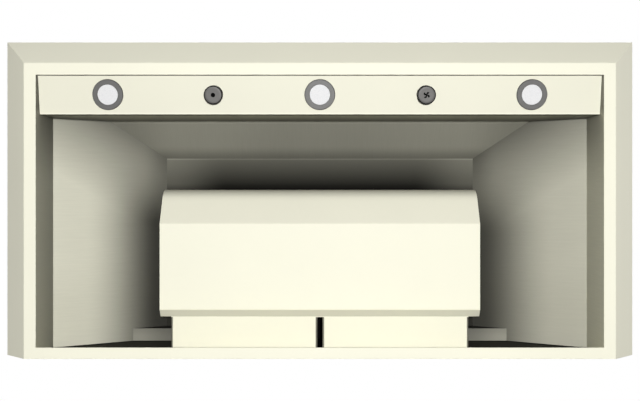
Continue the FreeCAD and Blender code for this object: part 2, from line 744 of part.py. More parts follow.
def wheels():
    origin = point(0, 0, 0)
    centre = point(0, AXLE_Y, AXLE_HEIGHT)
    rim = WHEEL_R + WHEEL_BLADE
    disc = rod(rim, point(WHEEL_IN, 0, 0), X_AXIS, WHEEL_DISC)
    hub = rod(HUB_R, point(WHEEL_IN, 0, 0), X_AXIS, HUB_LENGTH)
    ring = tube(rim, WHEEL_EYE_R, point(WHEEL_OUT - WHEEL_RING, 0, 0), X_AXIS, WHEEL_RING)
    first = blade((WHEEL_IN + WHEEL_DISC / 2, WHEEL_OUT - WHEEL_RING / 2))
    shapes = [disc, hub, ring]
    for step in range(WHEEL_BLADES):
        copy = first.copy()
        copy.rotate(origin, X_AXIS, 360 * step / WHEEL_BLADES)
        shapes.append(copy)
    wheel = fused(shapes)
    wheel = wheel.cut(rod(SHAFT_R, point(0, 0, 0), X_AXIS, FAR))
    wheel.translate(centre)
    save_pair("impeller", wheel)

    shaft_out = WHEEL_IN + HUB_LENGTH
    shaft_in = shaft_out - SHAFT_LENGTH
    shaft = rod(SHAFT_R, point(shaft_in, AXLE_Y, AXLE_HEIGHT), X_AXIS, SHAFT_LENGTH)
    save_pair("motor_shaft", shaft)

    can = rod(MOTOR_R, point(MOTOR_IN, AXLE_Y, AXLE_HEIGHT), X_AXIS, MOTOR_LENGTH)
    can = can.makeFillet(MOTOR_EDGE_R, [e for e in can.Edges if e.Closed])
    boss = rod(
        MOTOR_BOSS_R, point(MOTOR_OUT - SHEET, AXLE_Y, AXLE_HEIGHT), X_AXIS, SHEET + BRACKET + MOTOR_BOSS
    )
    motor = fused([can, boss])
    bore_end = shaft_in - FIT
    bore = rod(SHAFT_R + RUN_FIT, point(bore_end, AXLE_Y, AXLE_HEIGHT), X_AXIS, FAR)
    motor = motor.cut(bore)
    for place in motor_bolt_places():
        motor = motor.cut(rod(BOLT_R, place - X_AXIS * BOLT_R * 4, X_AXIS, FAR))
    save_pair("motor", motor)

    plate_y = (AXLE_Y - BRACKET_HALF, AXLE_Y + BRACKET_HALF)
    plate_x = (MOTOR_OUT, MOTOR_OUT + BRACKET)
    plate = block(plate_x, plate_y, (AXLE_HEIGHT - BRACKET_HALF, CEILING))
    foot_x = (MOTOR_OUT + BRACKET - BRACKET_FOOT, MOTOR_OUT + BRACKET)
    foot = block(foot_x, plate_y, (CEILING - BRACKET, CEILING))
    bracket = fused([plate, foot])
    hole = rod(MOTOR_BOSS_R + HOLE_PLAY, point(0, AXLE_Y, AXLE_HEIGHT), X_AXIS, FAR)
    bracket = bracket.cut(hole)
    for place in motor_bolt_places():
        bracket = bracket.cut(rod(BOLT_R + HOLE_PLAY, place, X_AXIS, FAR))
    save_pair("motor_bracket", bracket)

    bolts = []
    for place in motor_bolt_places():
        head_base = point(MOTOR_OUT + BRACKET, place.y, place.z)
        shank = rod(BOLT_R, point(place.x - BOLT_R * 4, place.y, place.z), X_AXIS, BOLT_R * 4 + BRACKET)
        head = hexagon(2 * BOLT_HEAD_R, head_base, X_AXIS, BOLT_HEAD)
        bolts.append(fused([shank, head]))
    save_group("motor_bolts", bolts + [mirrored(bolt) for bolt in bolts])

    can_base = point(CAPACITOR_FROM_MID, HOUSING_FRONT, CEILING_TOP)
    capacitor = rod(CAPACITOR_R, can_base, Z_AXIS, CAPACITOR_HEIGHT)
    top_edges = [e for e in capacitor.Edges if e.Closed and e.CenterOfMass.z > CEILING_TOP + 1]
    capacitor = capacitor.makeFillet(CAPACITOR_R / 6, top_edges)
    save_group("motor_capacitors", [capacitor, mirrored(capacitor)])


def motor_bolt_places():
    places = []
    for step in range(4):
        turn = math.radians(45 + 90 * step)
        y = AXLE_Y + MOTOR_BOLT_CIRCLE * math.cos(turn)
        z = AXLE_HEIGHT + MOTOR_BOLT_CIRCLE * math.sin(turn)
        places.append(point(MOTOR_OUT, y, z))
    return places


def catches():
    """Spring catches on the ceiling that grip the housing's end plates from inside."""
    grip = HOUSING_HALF - HOUSING_SHEET - FIT
    clips = []
    for y in (HOUSING_FRONT + CATCH_INSET, HOUSING_REAR - CATCH_INSET):
        path = [
            (grip - CATCH_FOOT, CEILING),
            (grip, CEILING),
            (grip, CEILING - CATCH_DROP),
            (grip - CATCH_FOOT / 3, CEILING - CATCH_DROP - CATCH_FOOT / 3),
        ]
        outline = bent_sheet(path, -CATCH)
        clips.append(along_y(outline, (y - CATCH_WIDTH / 2, y + CATCH_WIDTH / 2)))
    save_group("housing_catches", clips + [mirrored(clip) for clip in clips])


def plenum():
    z = (CEILING_TOP, HEIGHT - SHEET)
    outer = block((-PLENUM_HALF, PLENUM_HALF), (-PLENUM_DEPTH, BACK), z)
    half = PLENUM_HALF - PLENUM_SHEET
    inner = block((-half, half), (PLENUM_SHEET - PLENUM_DEPTH, BACK - PLENUM_SHEET), (0, FAR))
    save("plenum_box", outer.cut(inner))


def collar_screw_places():
    places = []
    for step in range(COLLAR_SCREWS):
        turn = 2 * math.pi * (step + 0.5) / COLLAR_SCREWS
        x = COLLAR_SCREW_CIRCLE * math.cos(turn)
        y = COLLAR_Y + COLLAR_SCREW_CIRCLE * math.sin(turn)
        places.append(point(x, y, HEIGHT + SHEET))
    return places


def duct_collar():
    base = point(0, COLLAR_Y, HEIGHT)
    wall = tube(COLLAR_R, COLLAR_BORE, base, Z_AXIS, COLLAR_HEIGHT)
    flange = tube(COLLAR_FLANGE_R, COLLAR_BORE, base, Z_AXIS, SHEET)
    stop_top = DAMPER_Z - DAMPER_SHEET / 2 - FIT
    stop_base = point(0, COLLAR_Y, stop_top - STOP_THICK)
    stop = tube(COLLAR_R - COLLAR_WALL / 2, COLLAR_BORE - STOP_WIDTH, stop_base, Z_AXIS, STOP_THICK)
    notch_y = (COLLAR_Y - DAMPER_EYE_R - DAMPER_NOTCH, COLLAR_Y + DAMPER_EYE_R + DAMPER_NOTCH)
    stop = stop.cut(block((-FAR, FAR), notch_y, (0, FAR)))
    collar = fused([wall, flange, stop])
    pin_hole = rod(DAMPER_PIN_R, point(-FAR, COLLAR_Y, DAMPER_Z), X_AXIS, 2 * FAR)
    collar = collar.cut(pin_hole)
    for place in collar_screw_places():
        collar = collar.cut(rod(SCREW_R + HOLE_PLAY, point(place.x, place.y, 0), Z_AXIS, FAR))
    save("duct_collar", collar)

    pin_half = COLLAR_R - FIT
    pin = rod(DAMPER_PIN_R, point(-pin_half, COLLAR_Y, DAMPER_Z), X_AXIS, 2 * pin_half)
    save("damper_pin", pin)

    down = point(0, 0, -1)
    places = collar_screw_places() + box_screw_places()
    save_group("top_screws", [screw(place, down, SCREW_LENGTH) for place in places])

    rear = rear_flap()
    front = rear.copy()
    front.rotate(point(0, COLLAR_Y, DAMPER_Z), Z_AXIS, 180)
    save("damper_flap_rear", rear)
    save("damper_flap_front", front)


def rear_flap():
    """Rear half of the damper with its eyes around the pin."""
    level = DAMPER_Z - DAMPER_SHEET / 2
    disc = rod(FLAP_R, point(0, COLLAR_Y, level), Z_AXIS, DAMPER_SHEET)
    plate = disc.cut(block((-FAR, FAR), (-FAR, COLLAR_Y + DAMPER_SPLIT), (0, FAR)))
    starts = [
        DAMPER_EYE_NEAR,
        DAMPER_EYE_NEAR + 2 * DAMPER_EYE_STEP,
        -(DAMPER_EYE_NEAR + DAMPER_EYE_STEP + DAMPER_EYE_LENGTH),
    ]
    parts = [plate]
    for start in starts:
        parts.append(rod(DAMPER_EYE_R, point(start, COLLAR_Y, DAMPER_Z), X_AXIS, DAMPER_EYE_LENGTH))
        tab_x = (start, start + DAMPER_EYE_LENGTH)
        tab_y = (COLLAR_Y + DAMPER_PIN_R, COLLAR_Y + DAMPER_SPLIT + DAMPER_NOTCH)
        parts.append(block(tab_x, tab_y, (level, level + DAMPER_SHEET)))
    bore = rod(DAMPER_PIN_R + RUN_FIT, point(-FAR, COLLAR_Y, DAMPER_Z), X_AXIS, 2 * FAR)
    return fused(parts).cut(bore)


def box_screw_places():
    mid = (BOX_FRONT + BOX_REAR) / 2
    return [point(BOX_LEFT - BOX_TAB / 2, mid, HEIGHT), point(BOX_RIGHT + BOX_TAB / 2, mid, HEIGHT)]


def supply():
    x = (BOX_LEFT, BOX_RIGHT)
    y = (BOX_FRONT, BOX_REAR)
    outer = block(x, y, (BOX_BOTTOM, BOX_TOP))
    inner = block(
        (BOX_LEFT + BOX_SHEET, BOX_RIGHT - BOX_SHEET),
        (BOX_FRONT + BOX_SHEET, BOX_REAR - BOX_SHEET),
        (0, BOX_TOP - BOX_SHEET),
    )
    tab = block((BOX_LEFT - BOX_TAB, BOX_RIGHT + BOX_TAB), y, (BOX_TOP - BOX_SHEET, BOX_TOP))
    box = fused([outer, tab]).cut(inner)
    box = box.cut(rod(GLAND_R + HOLE_PLAY, point(GLAND_X, GLAND_Y, BOX_BOTTOM), Z_AXIS, FAR))
    outlet = point(GLAND_X, -FAR, conduit_level())
    box = box.cut(rod(CONDUIT_R, outlet, Y_AXIS, FAR + BOX_FRONT + 2 * BOX_SHEET))
    for place in box_screw_places():
        box = box.cut(rod(SCREW_R + HOLE_PLAY, point(place.x, place.y, 0), Z_AXIS, FAR))
    save("junction_box", box)
    save("junction_box_cover", block(x, y, (BOX_BOTTOM - BOX_SHEET, BOX_BOTTOM)))

    foot = point(GLAND_X, GLAND_Y, HEIGHT)
    tail = SHEET + BOX_SHEET + GLAND_TAIL
    stem = rod(GLAND_R, foot - Z_AXIS * tail, Z_AXIS, tail)
    flange = rod(GLAND_FLANGE_R, foot, Z_AXIS, GLAND_FLANGE)
    dome = hexagon(2 * GLAND_R, foot, Z_AXIS, GLAND_RISE)
    bore = rod(GLAND_BORE_R, foot - Z_AXIS * tail, Z_AXIS, FAR)
    save("cable_gland", fused([stem, flange, dome]).cut(bore))
    nut_base = foot - Z_AXIS * (SHEET + BOX_SHEET + GLAND_NUT)
    nut = hexagon(2 * GLAND_NUT_R, nut_base, Z_AXIS, GLAND_NUT)
    save("cable_gland_nut", nut.cut(rod(GLAND_R, nut_base, Z_AXIS, GLAND_NUT)))
    save("wiring_conduit", conduit())


def conduit_level():
    return BOX_BOTTOM + BOX_HEIGHT / 3


def conduit():
    """Conduit from the junction box forward, down and across to the back of the controls."""
    level = conduit_level()
    turn_y = CEILING_FRONT - CONDUIT_DROP / 2
    low = level - CONDUIT_DROP
    end_z = FRONT_LIP_TOP / 2
    end_y = RETURN_Y - SHEET - CONDUIT_R - FIT
    corners = [
        point(GLAND_X, BOX_FRONT, level),
        point(GLAND_X, -PLENUM_DEPTH, level),
        point(GLAND_X, turn_y, low),
        point(GLAND_X, end_y, low - CONDUIT_BEND_R),
        point(GLAND_X, end_y, end_z),
        point(-KNOB_X, end_y, end_z),
    ]
    edges = []
    last = corners[0]
    for before, corner, after in zip(corners, corners[1:], corners[2:]):
        come = corner - before
        come.normalize()
        go = after - corner
        go.normalize()
        half_turn = come.getAngle(go) / 2
        back = CONDUIT_BEND_R / 2 * math.tan(half_turn)
        start = corner - come * back
        end = corner + go * back
        inward = go - come
        inward.normalize()
        reach = CONDUIT_BEND_R / 2 * (1 / math.cos(half_turn) - 1)
        middle = corner + inward * reach
        edges.append(Part.makeLine(last, start))
        edges.append(Part.Arc(start, middle, end).toShape())
        last = end
    edges.append(Part.makeLine(last, corners[-1]))
    path = Part.Wire(edges)
    heading = corners[1] - corners[0]
    section = Part.Wire([Part.makeCircle(CONDUIT_R, corners[0], heading)])
    return path.makePipeShell([section], True, False)


def main():
    os.makedirs("parts", exist_ok=True)
    casing_panels()
    liner()
    control_panel()
    lamps()
    controls()
    blower_housing()
    chutes()
    wheels()
    catches()
    plenum()
    duct_collar()
    supply()


if __name__ == "__main__":
    main()
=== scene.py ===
import json
import math

import bmesh
import bpy
from mathutils import Matrix, Vector


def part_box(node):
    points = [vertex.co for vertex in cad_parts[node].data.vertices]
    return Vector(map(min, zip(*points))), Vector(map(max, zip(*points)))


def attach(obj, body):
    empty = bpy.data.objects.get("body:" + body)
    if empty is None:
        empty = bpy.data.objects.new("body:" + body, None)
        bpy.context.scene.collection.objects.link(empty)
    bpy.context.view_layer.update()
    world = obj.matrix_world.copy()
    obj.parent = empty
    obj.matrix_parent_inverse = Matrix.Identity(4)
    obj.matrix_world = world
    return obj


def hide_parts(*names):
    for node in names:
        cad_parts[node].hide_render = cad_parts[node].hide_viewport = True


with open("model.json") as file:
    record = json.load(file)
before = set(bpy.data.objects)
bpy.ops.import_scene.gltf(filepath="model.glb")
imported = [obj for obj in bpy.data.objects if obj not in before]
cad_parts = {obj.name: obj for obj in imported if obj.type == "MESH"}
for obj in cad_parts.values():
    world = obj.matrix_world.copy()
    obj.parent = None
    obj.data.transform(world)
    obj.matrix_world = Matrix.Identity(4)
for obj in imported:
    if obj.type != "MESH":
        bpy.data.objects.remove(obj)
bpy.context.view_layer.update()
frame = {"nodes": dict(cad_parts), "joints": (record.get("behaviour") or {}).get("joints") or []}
nodes = frame["nodes"]
scene = bpy.context.scene

MM = 0.001
WHITE = (1, 1, 1, 1)
CREAM = (249, 247, 227)
SHADOW_TONE = (15, 14, 12)

# The control panel's plane, from the knobs' joints
turns = {joint["child"]: joint for joint in frame["joints"] if joint["name"].endswith("knob_turn")}
panel_at = Vector(turns["fan_knob"]["pos_m"])
inward = Vector(turns["fan_knob"]["axis"])
outward = -inward
panel_rise = -inward.y / inward.z

# Places of the pieces that the painted shade refers to; a box is a low and a high corner
liner_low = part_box("liner_left")[0]
panel_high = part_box("control_panel")[1]
front_low, front_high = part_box("liner_front")
housing_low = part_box("blower_housing")[0]
chute_low, chute_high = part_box("exhaust_chute_right")
ledge_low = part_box("rear_ledge_right")[0]
back_low, back_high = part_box("back_panel")
PANEL_FRONT_Z = panel_at.z + (liner_low.y - panel_at.y) * panel_rise
PANEL_REAR_Z = panel_at.z + (panel_high.y - panel_at.y) * panel_rise
SIDE_LIP_TOP = 116.3 * MM
FRONT_LIP_TOP = front_low.z
FRONT_LINER_NORMAL = Vector((0, front_high.z - front_low.z, front_low.y - front_high.y)).normalized()
CEILING_Z = front_high.z
CEILING_FRONT = front_high.y
HOUSING_FRONT = housing_low.y
HOUSING_UNDER = housing_low.z
CHUTE_UNDER = chute_low.z
CHUTE_END = chute_high.x
CHUTE_MIDDLE = (chute_low.x + chute_high.x) / 2
CHUTE_HALF = (chute_high.x - chute_low.x) / 2
LEDGE_UNDER = ledge_low.z
BACK_MIDDLE = (back_low.y + back_high.y) / 2


def srgb(red, green, blue, shade=1.0):
    """Linear colour from 0 to 255 display values."""

    def linear(value):
        value = value / 255
        return value / 12.92 if value <= 0.04045 else ((value + 0.055) / 1.055) ** 2.4

    return (linear(red) * shade, linear(green) * shade, linear(blue) * shade, 1.0)


class Nodes:
    """Adds nodes to the node tree of a material or a world."""

    def __init__(self, owner, out):
        owner.use_nodes = True
        self.tree = owner.node_tree
        self.tree.nodes.clear()
        self.out = self.add(out)

    def add(self, kind, settings=None, **inputs):
        node = self.tree.nodes.new("ShaderNode" + kind)
        for key, value in (settings or {}).items():
            setattr(node, key, value)
        for key, value in inputs.items():
            self.feed(node, key.replace("_", " "), value)
        return node

    def feed(self, node, socket, value):
        """Links an output to an input, or sets the input to a constant."""
        socket = node.inputs[socket]
        if isinstance(value, bpy.types.NodeSocket):
            self.tree.links.new(value, socket)
        else:
            socket.default_value = value

    def feed_all(self, node, values, first=0):
        for place, value in enumerate(values, first):
            self.feed(node, place, value)

    def math(self, operation, *values):
        node = self.add("Math", {"operation": operation})
        self.feed_all(node, values)
        return node.outputs["Value"]

    def vector(self, operation, *values):
        node = self.add("VectorMath", {"operation": operation})
        self.feed_all(node, values)
        return node.outputs["Value" if operation == "LENGTH" else "Vector"]

    def mix_shader(self, share, first, second):
        node = self.add("MixShader")
        self.feed_all(node, (share, first, second))
        return node.outputs[0]


class Shader(Nodes):
    """Builds one node material."""

    def __init__(self, name):
        self.material = bpy.data.materials.new(name)
        super().__init__(self.material, "OutputMaterial")

    def coords(self, scale=(1, 1, 1)):
        """Object coordinates in metres, scaled."""
        place = self.add("TexCoord").outputs["Object"]
        return self.add("Mapping", Vector=place, Scale=scale).outputs["Vector"]

    def noise(self, vector, scale, detail=2.0, rough=0.5):
        node = self.add("TexNoise", Vector=vector, Scale=scale, Detail=detail, Roughness=rough)
        return node.outputs["Fac"]

    def ramp(self, value, low, high, low_at=0.0, high_at=1.0):
        """Goes from one colour to another."""
        node = self.add("ValToRGB", Fac=value)
        start, end = node.color_ramp.elements
        start.position = low_at
        start.color = low
        end.position = high_at
        end.color = high
        return node.outputs["Color"]

    def span(self, value, before, after, start=0.0, end=1.0):
        """Goes evenly from one level at start to another at end, and holds it outside."""
        node = self.add("MapRange")
        self.feed(node, "Value", value)
        self.feed(node, "From Min", start)
        self.feed(node, "From Max", end)
        self.feed(node, "To Min", before)
        self.feed(node, "To Max", after)
        return node.outputs["Result"]

    def smooth(self, value, start, end, before, after):
        """Goes from one level at start to another at end along an S curve, and holds it outside."""
        result = self.span(value, before, after, start, end)
        result.node.interpolation_type = "SMOOTHSTEP"
        return result

    def plus(self, first, second, share):
        """The first value and a share of the second."""
        return self.math("MULTIPLY_ADD", second, share, first)

    def times(self, first, *others):
        for other in others:
            first = self.math("MULTIPLY", first, other)
        return first

    def absolute(self, value):
        return self.math("ABSOLUTE", value)

    def mix(self, share, first, second):
        """Mixes two colours, which are inputs 6 and 7 and output 2 of a Mix node."""
        node = self.add("Mix", {"data_type": "RGBA"})
        self.feed(node, 0, share)
        self.feed_all(node, (first, second), 6)
        return node.outputs[2]

    def round_lines(self, centre, axis, scale):
        """Fine lines that run round an axis."""
        place = self.add("TexCoord").outputs["Object"]
        across = self.vector("CROSS_PRODUCT", self.vector("SUBTRACT", place, centre), axis)
        radius = self.vector("LENGTH", across)
        wave = self.add("TexNoise", {"noise_dimensions": "1D"}, W=radius, Scale=scale, Detail=2.0)
        return wave.outputs["Fac"]

    def bump(self, height, strength, distance):
        node = self.add("Bump", Height=height, Strength=strength, Distance=distance)
        return node.outputs["Normal"]

    def finish(self, color, roughness, normal, **constants):
        looks = {"Base_Color": color, "Roughness": roughness, "Normal": normal}
        surface = self.add("BsdfPrincipled", **looks, **constants)
        self.feed(self.out, "Surface", surface.outputs["BSDF"])
        return self.material


def enamel(name, shade=None, lines_scale=None, gloss=0.15, rough=0.46):
    """Cream stove enamel on sheet steel, with orange peel and faint clouds.

    Painted shade darkens recesses: shade(s, x, y, z) gives how much unshaded colour is left at a place.
    A scale for the lines adds rolling lines to a piece with painted shade.
    """
    s = Shader(name)
    place = s.coords()
    cloud = s.noise(place, 5.0, 3.0)
    speck = s.noise(place, 140.0)
    height = s.noise(place, 620.0, rough=0.45)
    color = s.ramp(s.plus(cloud, speck, 0.15), srgb(*CREAM, shade=0.97), srgb(*CREAM), 0.35, 0.75)
    roughness = s.span(s.plus(cloud, speck, 0.5), rough, rough + 0.12, 0.4, 1.1)
    if shade:
        # painted shade: the share of unshaded colour left at each place, mixed towards SHADOW_TONE
        clear = shade(s, *s.add("SeparateXYZ", Vector=place).outputs)
        if lines_scale:
            lines = s.noise(s.coords(lines_scale), 1.0, 3.0, 0.6)
            height = s.plus(height, lines, 0.8)
            roughness = s.plus(roughness, lines, 0.08)
            clear = s.times(clear, s.span(lines, 0.94, 1.06))
        color = s.mix(clear, srgb(*SHADOW_TONE), color)
    return s.finish(color, roughness, s.bump(height, 0.10, 0.0003), Specular_IOR_Level=gloss)


def panel_shade(s, x, y, z):
    """Painted shade: dark on the front fold and up the return, more so towards its ends."""
    # painted shade: the face a little shaded, with a painted highlight along its rear edge
    fold = s.smooth(z, PANEL_FRONT_Z - 0.3 * MM, PANEL_FRONT_Z + 0.1 * MM, 0.06, 0.90)
    face = s.times(fold, s.smooth(z, PANEL_REAR_Z - 0.7 * MM, PANEL_REAR_Z - 0.5 * MM, 1.0, 1.10))
    ends = s.smooth(z, PANEL_REAR_Z + 0.2 * MM, 0.140, 0.72, 0.12)
    upright = s.times(
        s.smooth(z, 0.042, 0.062, 0.22, 0.50),
        s.smooth(z, 0.065, 0.170, 1.0, 0.36),
        s.smooth(s.absolute(x), 0.380, 0.530, 1.0, ends),
    )
    return s.smooth(z, PANEL_REAR_Z - 0.13 * MM, PANEL_REAR_Z - 0.03 * MM, face, upright)


def chute_shade(s, x, y, z):
    """Painted shade: a little over the underside, much more round the two side edges and up from there."""
    painted_flat_level = 0.935
    across = s.absolute(s.math("SUBTRACT", s.absolute(x), CHUTE_MIDDLE))
    edge = s.smooth(z, CHUTE_UNDER, CHUTE_UNDER + 0.6 * MM, painted_flat_level, 0.20)
    return s.smooth(across, CHUTE_HALF - 7 * MM, CHUTE_HALF - 5 * MM, painted_flat_level, edge)


def housing_shade(s, x, y, z):
    """Painted shade, a little on the front slope, more on the rear edge and round the bend up to the
    front.
    """
    flat = HOUSING_UNDER + 0.3 * MM
    raised = HOUSING_UNDER + 1.5 * MM
    slope = s.smooth(z, flat, raised, 1.0, 0.96)
    bend = s.smooth(y, HOUSING_FRONT - 0.4 * MM, HOUSING_FRONT + 18.1 * MM, 0.74, 1.0)
    heel = s.smooth(y, -0.120, -0.090, 1.0, s.smooth(z, flat, raised, 1.0, 0.75))
    return s.times(slope, bend, heel)


def side_liner_shade(low_lip, high_lip, slope, deepest, near):
    """Painted shade of a side liner: its lip from low to high, then the slope.

    The slope darkens towards the front liner, the ceiling and, from near on, beside the housing.
    """

    def shade(s, x, y, z):
        behind = s.plus(-FRONT_LINER_NORMAL.dot(front_low), y, FRONT_LINER_NORMAL.y)
        behind = s.plus(behind, z, FRONT_LINER_NORMAL.z)
        level = s.times(
            s.span(behind, slope * 0.25, slope, 0.0, 0.120),
            s.smooth(y, near, near + 0.185, 1.0, s.smooth(z, 0.150, 0.238, 1.0, deepest)),
            s.smooth(y, -0.200, -0.060, 1.0, 0.92),
            s.smooth(z, 0.220, CEILING_Z, 1.0, 0.70),
        )
        low_front = s.smooth(y, -0.490, -0.310, 0.62, 1.0)
        high_front = s.smooth(y, -0.485, -0.320, 0.35, 1.0)
        lip = s.times(
            s.span(z, low_lip, high_lip, 0.0, SIDE_LIP_TOP),
            s.span(z, low_front, high_front, 0.0, SIDE_LIP_TOP),
            s.smooth(y, -0.480, -0.460, 0.45, 1.0),
        )
        return s.smooth(z, SIDE_LIP_TOP - 0.5 * MM, SIDE_LIP_TOP + 0.5 * MM, lip, level)

    return shade


def front_liner_shade(s, x, y, z):
    """Painted shade, even but darker along the ceiling, in the middle and towards its ends."""
    return s.times(
        # painted shade, lighter just above the lip
        s.smooth(z, FRONT_LIP_TOP + 1 * MM, FRONT_LIP_TOP + 5 * MM, 0.36, 0.278),
        s.smooth(z, 0.225, CEILING_Z + 1 * MM, 1.0, 0.55),
        s.smooth(s.absolute(x), 0.060, 0.240, 0.95, 1.05),
        s.smooth(s.absolute(x), 0.300, 0.420, 1.0, 0.75),
    )


def ceiling_shade(s, x, y, z):
    """Painted shade, dark towards the housing, less beyond its ends; a painted highlight along the front
    edge.
    """
    deep = HOUSING_FRONT - 1.9 * MM
    middle = s.math("POWER", s.span(y, 0.167, 0.0, CEILING_FRONT, deep), 1.2)
    end = s.smooth(y, -0.400, deep, 0.185, 0.10)
    return s.times(
        s.smooth(y, CEILING_FRONT + 1.5 * MM, CEILING_FRONT + 3.5 * MM, 1.45, 1.0),
        s.smooth(s.absolute(x), 0.200, 0.335, middle, end),
        s.smooth(y, deep - 14 * MM, deep, 1.0, 0.60),
        s.smooth(y, -0.150, -0.080, 1.0, 0.40),
    )


def ledge_shade(s, x, y, z):
    """Painted shade, darker on the left, towards the chutes and the front, and dark above its front edge.
    """
    return s.times(
        s.smooth(s.absolute(x), 0.315, 0.395, 0.17, 0.315),
        s.smooth(x, -0.300, 0.300, 0.87, 1.0),
        s.smooth(y, -0.030, -0.010, 0.84, 1.03),
        s.smooth(z, LEDGE_UNDER, LEDGE_UNDER + 0.8 * MM, 1.0, 0.10),
    )


def back_shade(s, x, y, z):
    """Unshaded outside; painted shade inside, darker with the height, most so between the chutes."""
    between = s.smooth(z, 0.090, 0.120, 1.0, 0.03)
    inside = s.times(
        s.smooth(z, 0.050, 0.128, 1.0, 0.045),
        s.smooth(s.absolute(x), 0.020, 0.050, between, 1.0),
    )
    return s.smooth(y, BACK_MIDDLE - 0.2 * MM, BACK_MIDDLE + 0.2 * MM, inside, 1.0)


def plate_shade(s, x, y, z):
    """Painted shade: unshaded along the lower edge between the chutes' ends, dark elsewhere."""
    return s.times(
        s.smooth(z, CHUTE_UNDER + 0.5 * MM, CHUTE_UNDER + 4 * MM, 1.0, 0.02),
        s.smooth(s.absolute(x), CHUTE_END - 1.4 * MM, CHUTE_END + 0.6 * MM, 1.0, 0.03),
    )


def satin_metal(name, base, rough_low, rough_high, turning=None, fine=900.0, metal=1.0):
    """Brushed metal; with a turning centre and axis the lines run round it."""
    s = Shader(name)
    cloud = s.noise(s.coords(), 30.0)
    if turning:
        lines = s.round_lines(*turning, fine)
    else:
        lines = s.noise(s.coords((40, fine, fine)), 1.0)
    darker = [0.86 * part for part in base]
    color = s.ramp(s.plus(cloud, lines, 0.6), (*darker, 1), (*base, 1), 0.45, 1.0)
    normal = s.bump(lines, 0.12, 0.0002)
    return s.finish(color, s.span(lines, rough_low, rough_high), normal, Metallic=metal)


def galvanised(name):
    """Zinc coated sheet with its crystal spangle."""
    s = Shader(name)
    place = s.coords()
    warped = s.vector("MULTIPLY_ADD", s.noise(place, 20.0), (0.02, 0.02, 0.02), place)
    cells = s.add("TexVoronoi", Vector=warped, Scale=70.0)
    grain = s.add("SeparateColor", Color=cells.outputs["Color"]).outputs[0]
    color = s.ramp(grain, srgb(168, 172, 176), srgb(206, 209, 211))
    normal = s.bump(s.noise(place, 300.0, 3.0), 0.06, 0.0003)
    return s.finish(color, s.span(grain, 0.30, 0.52), normal, Metallic=0.9)


def plastic(name, color_low, color_high, roughness=0.5, grain=700.0, gloss=0.5):
    """Moulded plastic with a fine texture."""
    s = Shader(name)
    place = s.coords()
    skin = s.noise(place, grain)
    color = s.ramp(s.noise(place, 40.0), color_low, color_high, 0.3, 0.7)
    roughness = s.span(skin, roughness - 0.06, roughness + 0.08)
    return s.finish(color, roughness, s.bump(skin, 0.15, 0.0002), Specular_IOR_Level=gloss)


def frosted_lens(name):
    """White diffusing lens with fine prisms."""
    s = Shader(name)
    cell = s.add("TexVoronoi", Vector=s.coords(), Scale=420.0).outputs["Distance"]
    color = s.ramp(cell, srgb(236, 236, 236), srgb(226, 226, 227), 0.0, 0.9)
    normal = s.bump(cell, 0.2, 0.0004)
    return s.finish(color, s.span(cell, 0.5, 0.6), normal, Specular_IOR_Level=0.2)


def assign(material, *names):
    """Gives CAD nodes a material."""
    for name in names:
        for slot in nodes[name].material_slots:
            slot.material = material


def soften(width, *names):
    """Rounds a CAD node's sharp edges so that they catch light."""
    for name in names:
        piece = nodes[name]
        piece.modifiers.new("weld", "WELD").merge_threshold = 0.01 * MM
        bevel = piece.modifiers.new("edge", "BEVEL")
        bevel.width = width
        bevel.segments = 2
        bevel.limit_method = "ANGLE"
        bevel.angle_limit = math.radians(28)
        piece.modifiers.new("normals", "WEIGHTED_NORMAL")


def mesh_from(name, build, spot):
    """Mesh whose points are made by build(bm) in a local frame, then placed by the matrix of a spot."""
    bm = bmesh.new()
    build(bm)
    bmesh.ops.remove_doubles(bm, verts=bm.verts, dist=0.001 * MM)
    bmesh.ops.recalc_face_normals(bm, faces=bm.faces)
    bm.transform(spot)
    mesh = bpy.data.meshes.new(name)
    bm.to_mesh(mesh)
    bm.free()
    for face in mesh.polygons:
        face.use_smooth = True
    mesh.set_sharp_from_angle(angle=math.radians(35))
    return mesh


def new_piece(name, build, spot, material, body):
    """Adds a piece that rides on a body."""
    mesh = mesh_from(name, build, spot)
    mesh.materials.append(material)
    piece = bpy.data.objects.new(name, mesh)
    scene.collection.objects.link(piece)
    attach(piece, body)
    return piece


def lathe(bm, profile, steps, trim=None, centre=(0, 0)):
    """Turns a (radius, height) profile round the local z axis; trim(row, turn) is taken off the radius."""
    rows = []
    for row, (radius, height) in enumerate(profile):
        ring = []
        for step in range(steps if radius else 1):
            turn = 2 * math.pi * step / steps
            reach = radius - trim(row, turn) if trim and radius else radius
            x = centre[0] + reach * math.cos(turn)
            y = centre[1] + reach * math.sin(turn)
            ring.append(bm.verts.new((x, y, height)))
        rows.append(ring)
    for low, high in zip(rows, rows[1:]):
        for step in range(steps):
            after = (step + 1) % steps
            if len(low) == 1:
                bm.faces.new((low[0], high[after], high[step]))
            elif len(high) == 1:
                bm.faces.new((low[step], low[after], high[0]))
            else:
                bm.faces.new((low[step], low[after], high[after], high[step]))


def slab(bm, outline, low, high):
    """Closed plate with an outline in local x and y."""
    bottom = [bm.verts.new((x, y, low)) for x, y in outline]
    top = [bm.verts.new((x, y, high)) for x, y in outline]
    bm.faces.new(list(reversed(bottom)))
    bm.faces.new(top)
    for step in range(len(outline)):
        after = (step + 1) % len(outline)
        bm.faces.new((bottom[step], bottom[after], top[after], top[step]))


def out_of(place, direction):
    """Matrix of a local frame at a place whose z axis points along a direction."""
    z = Vector(direction).normalized()
    x = Vector((1, 0, 0)) if abs(z.x) < 0.9 else Vector((0, 1, 0))
    y = z.cross(x).normalized()
    x = y.cross(z)
    return Matrix.Translation(place) @ Matrix((x, y, z)).transposed().to_4x4()
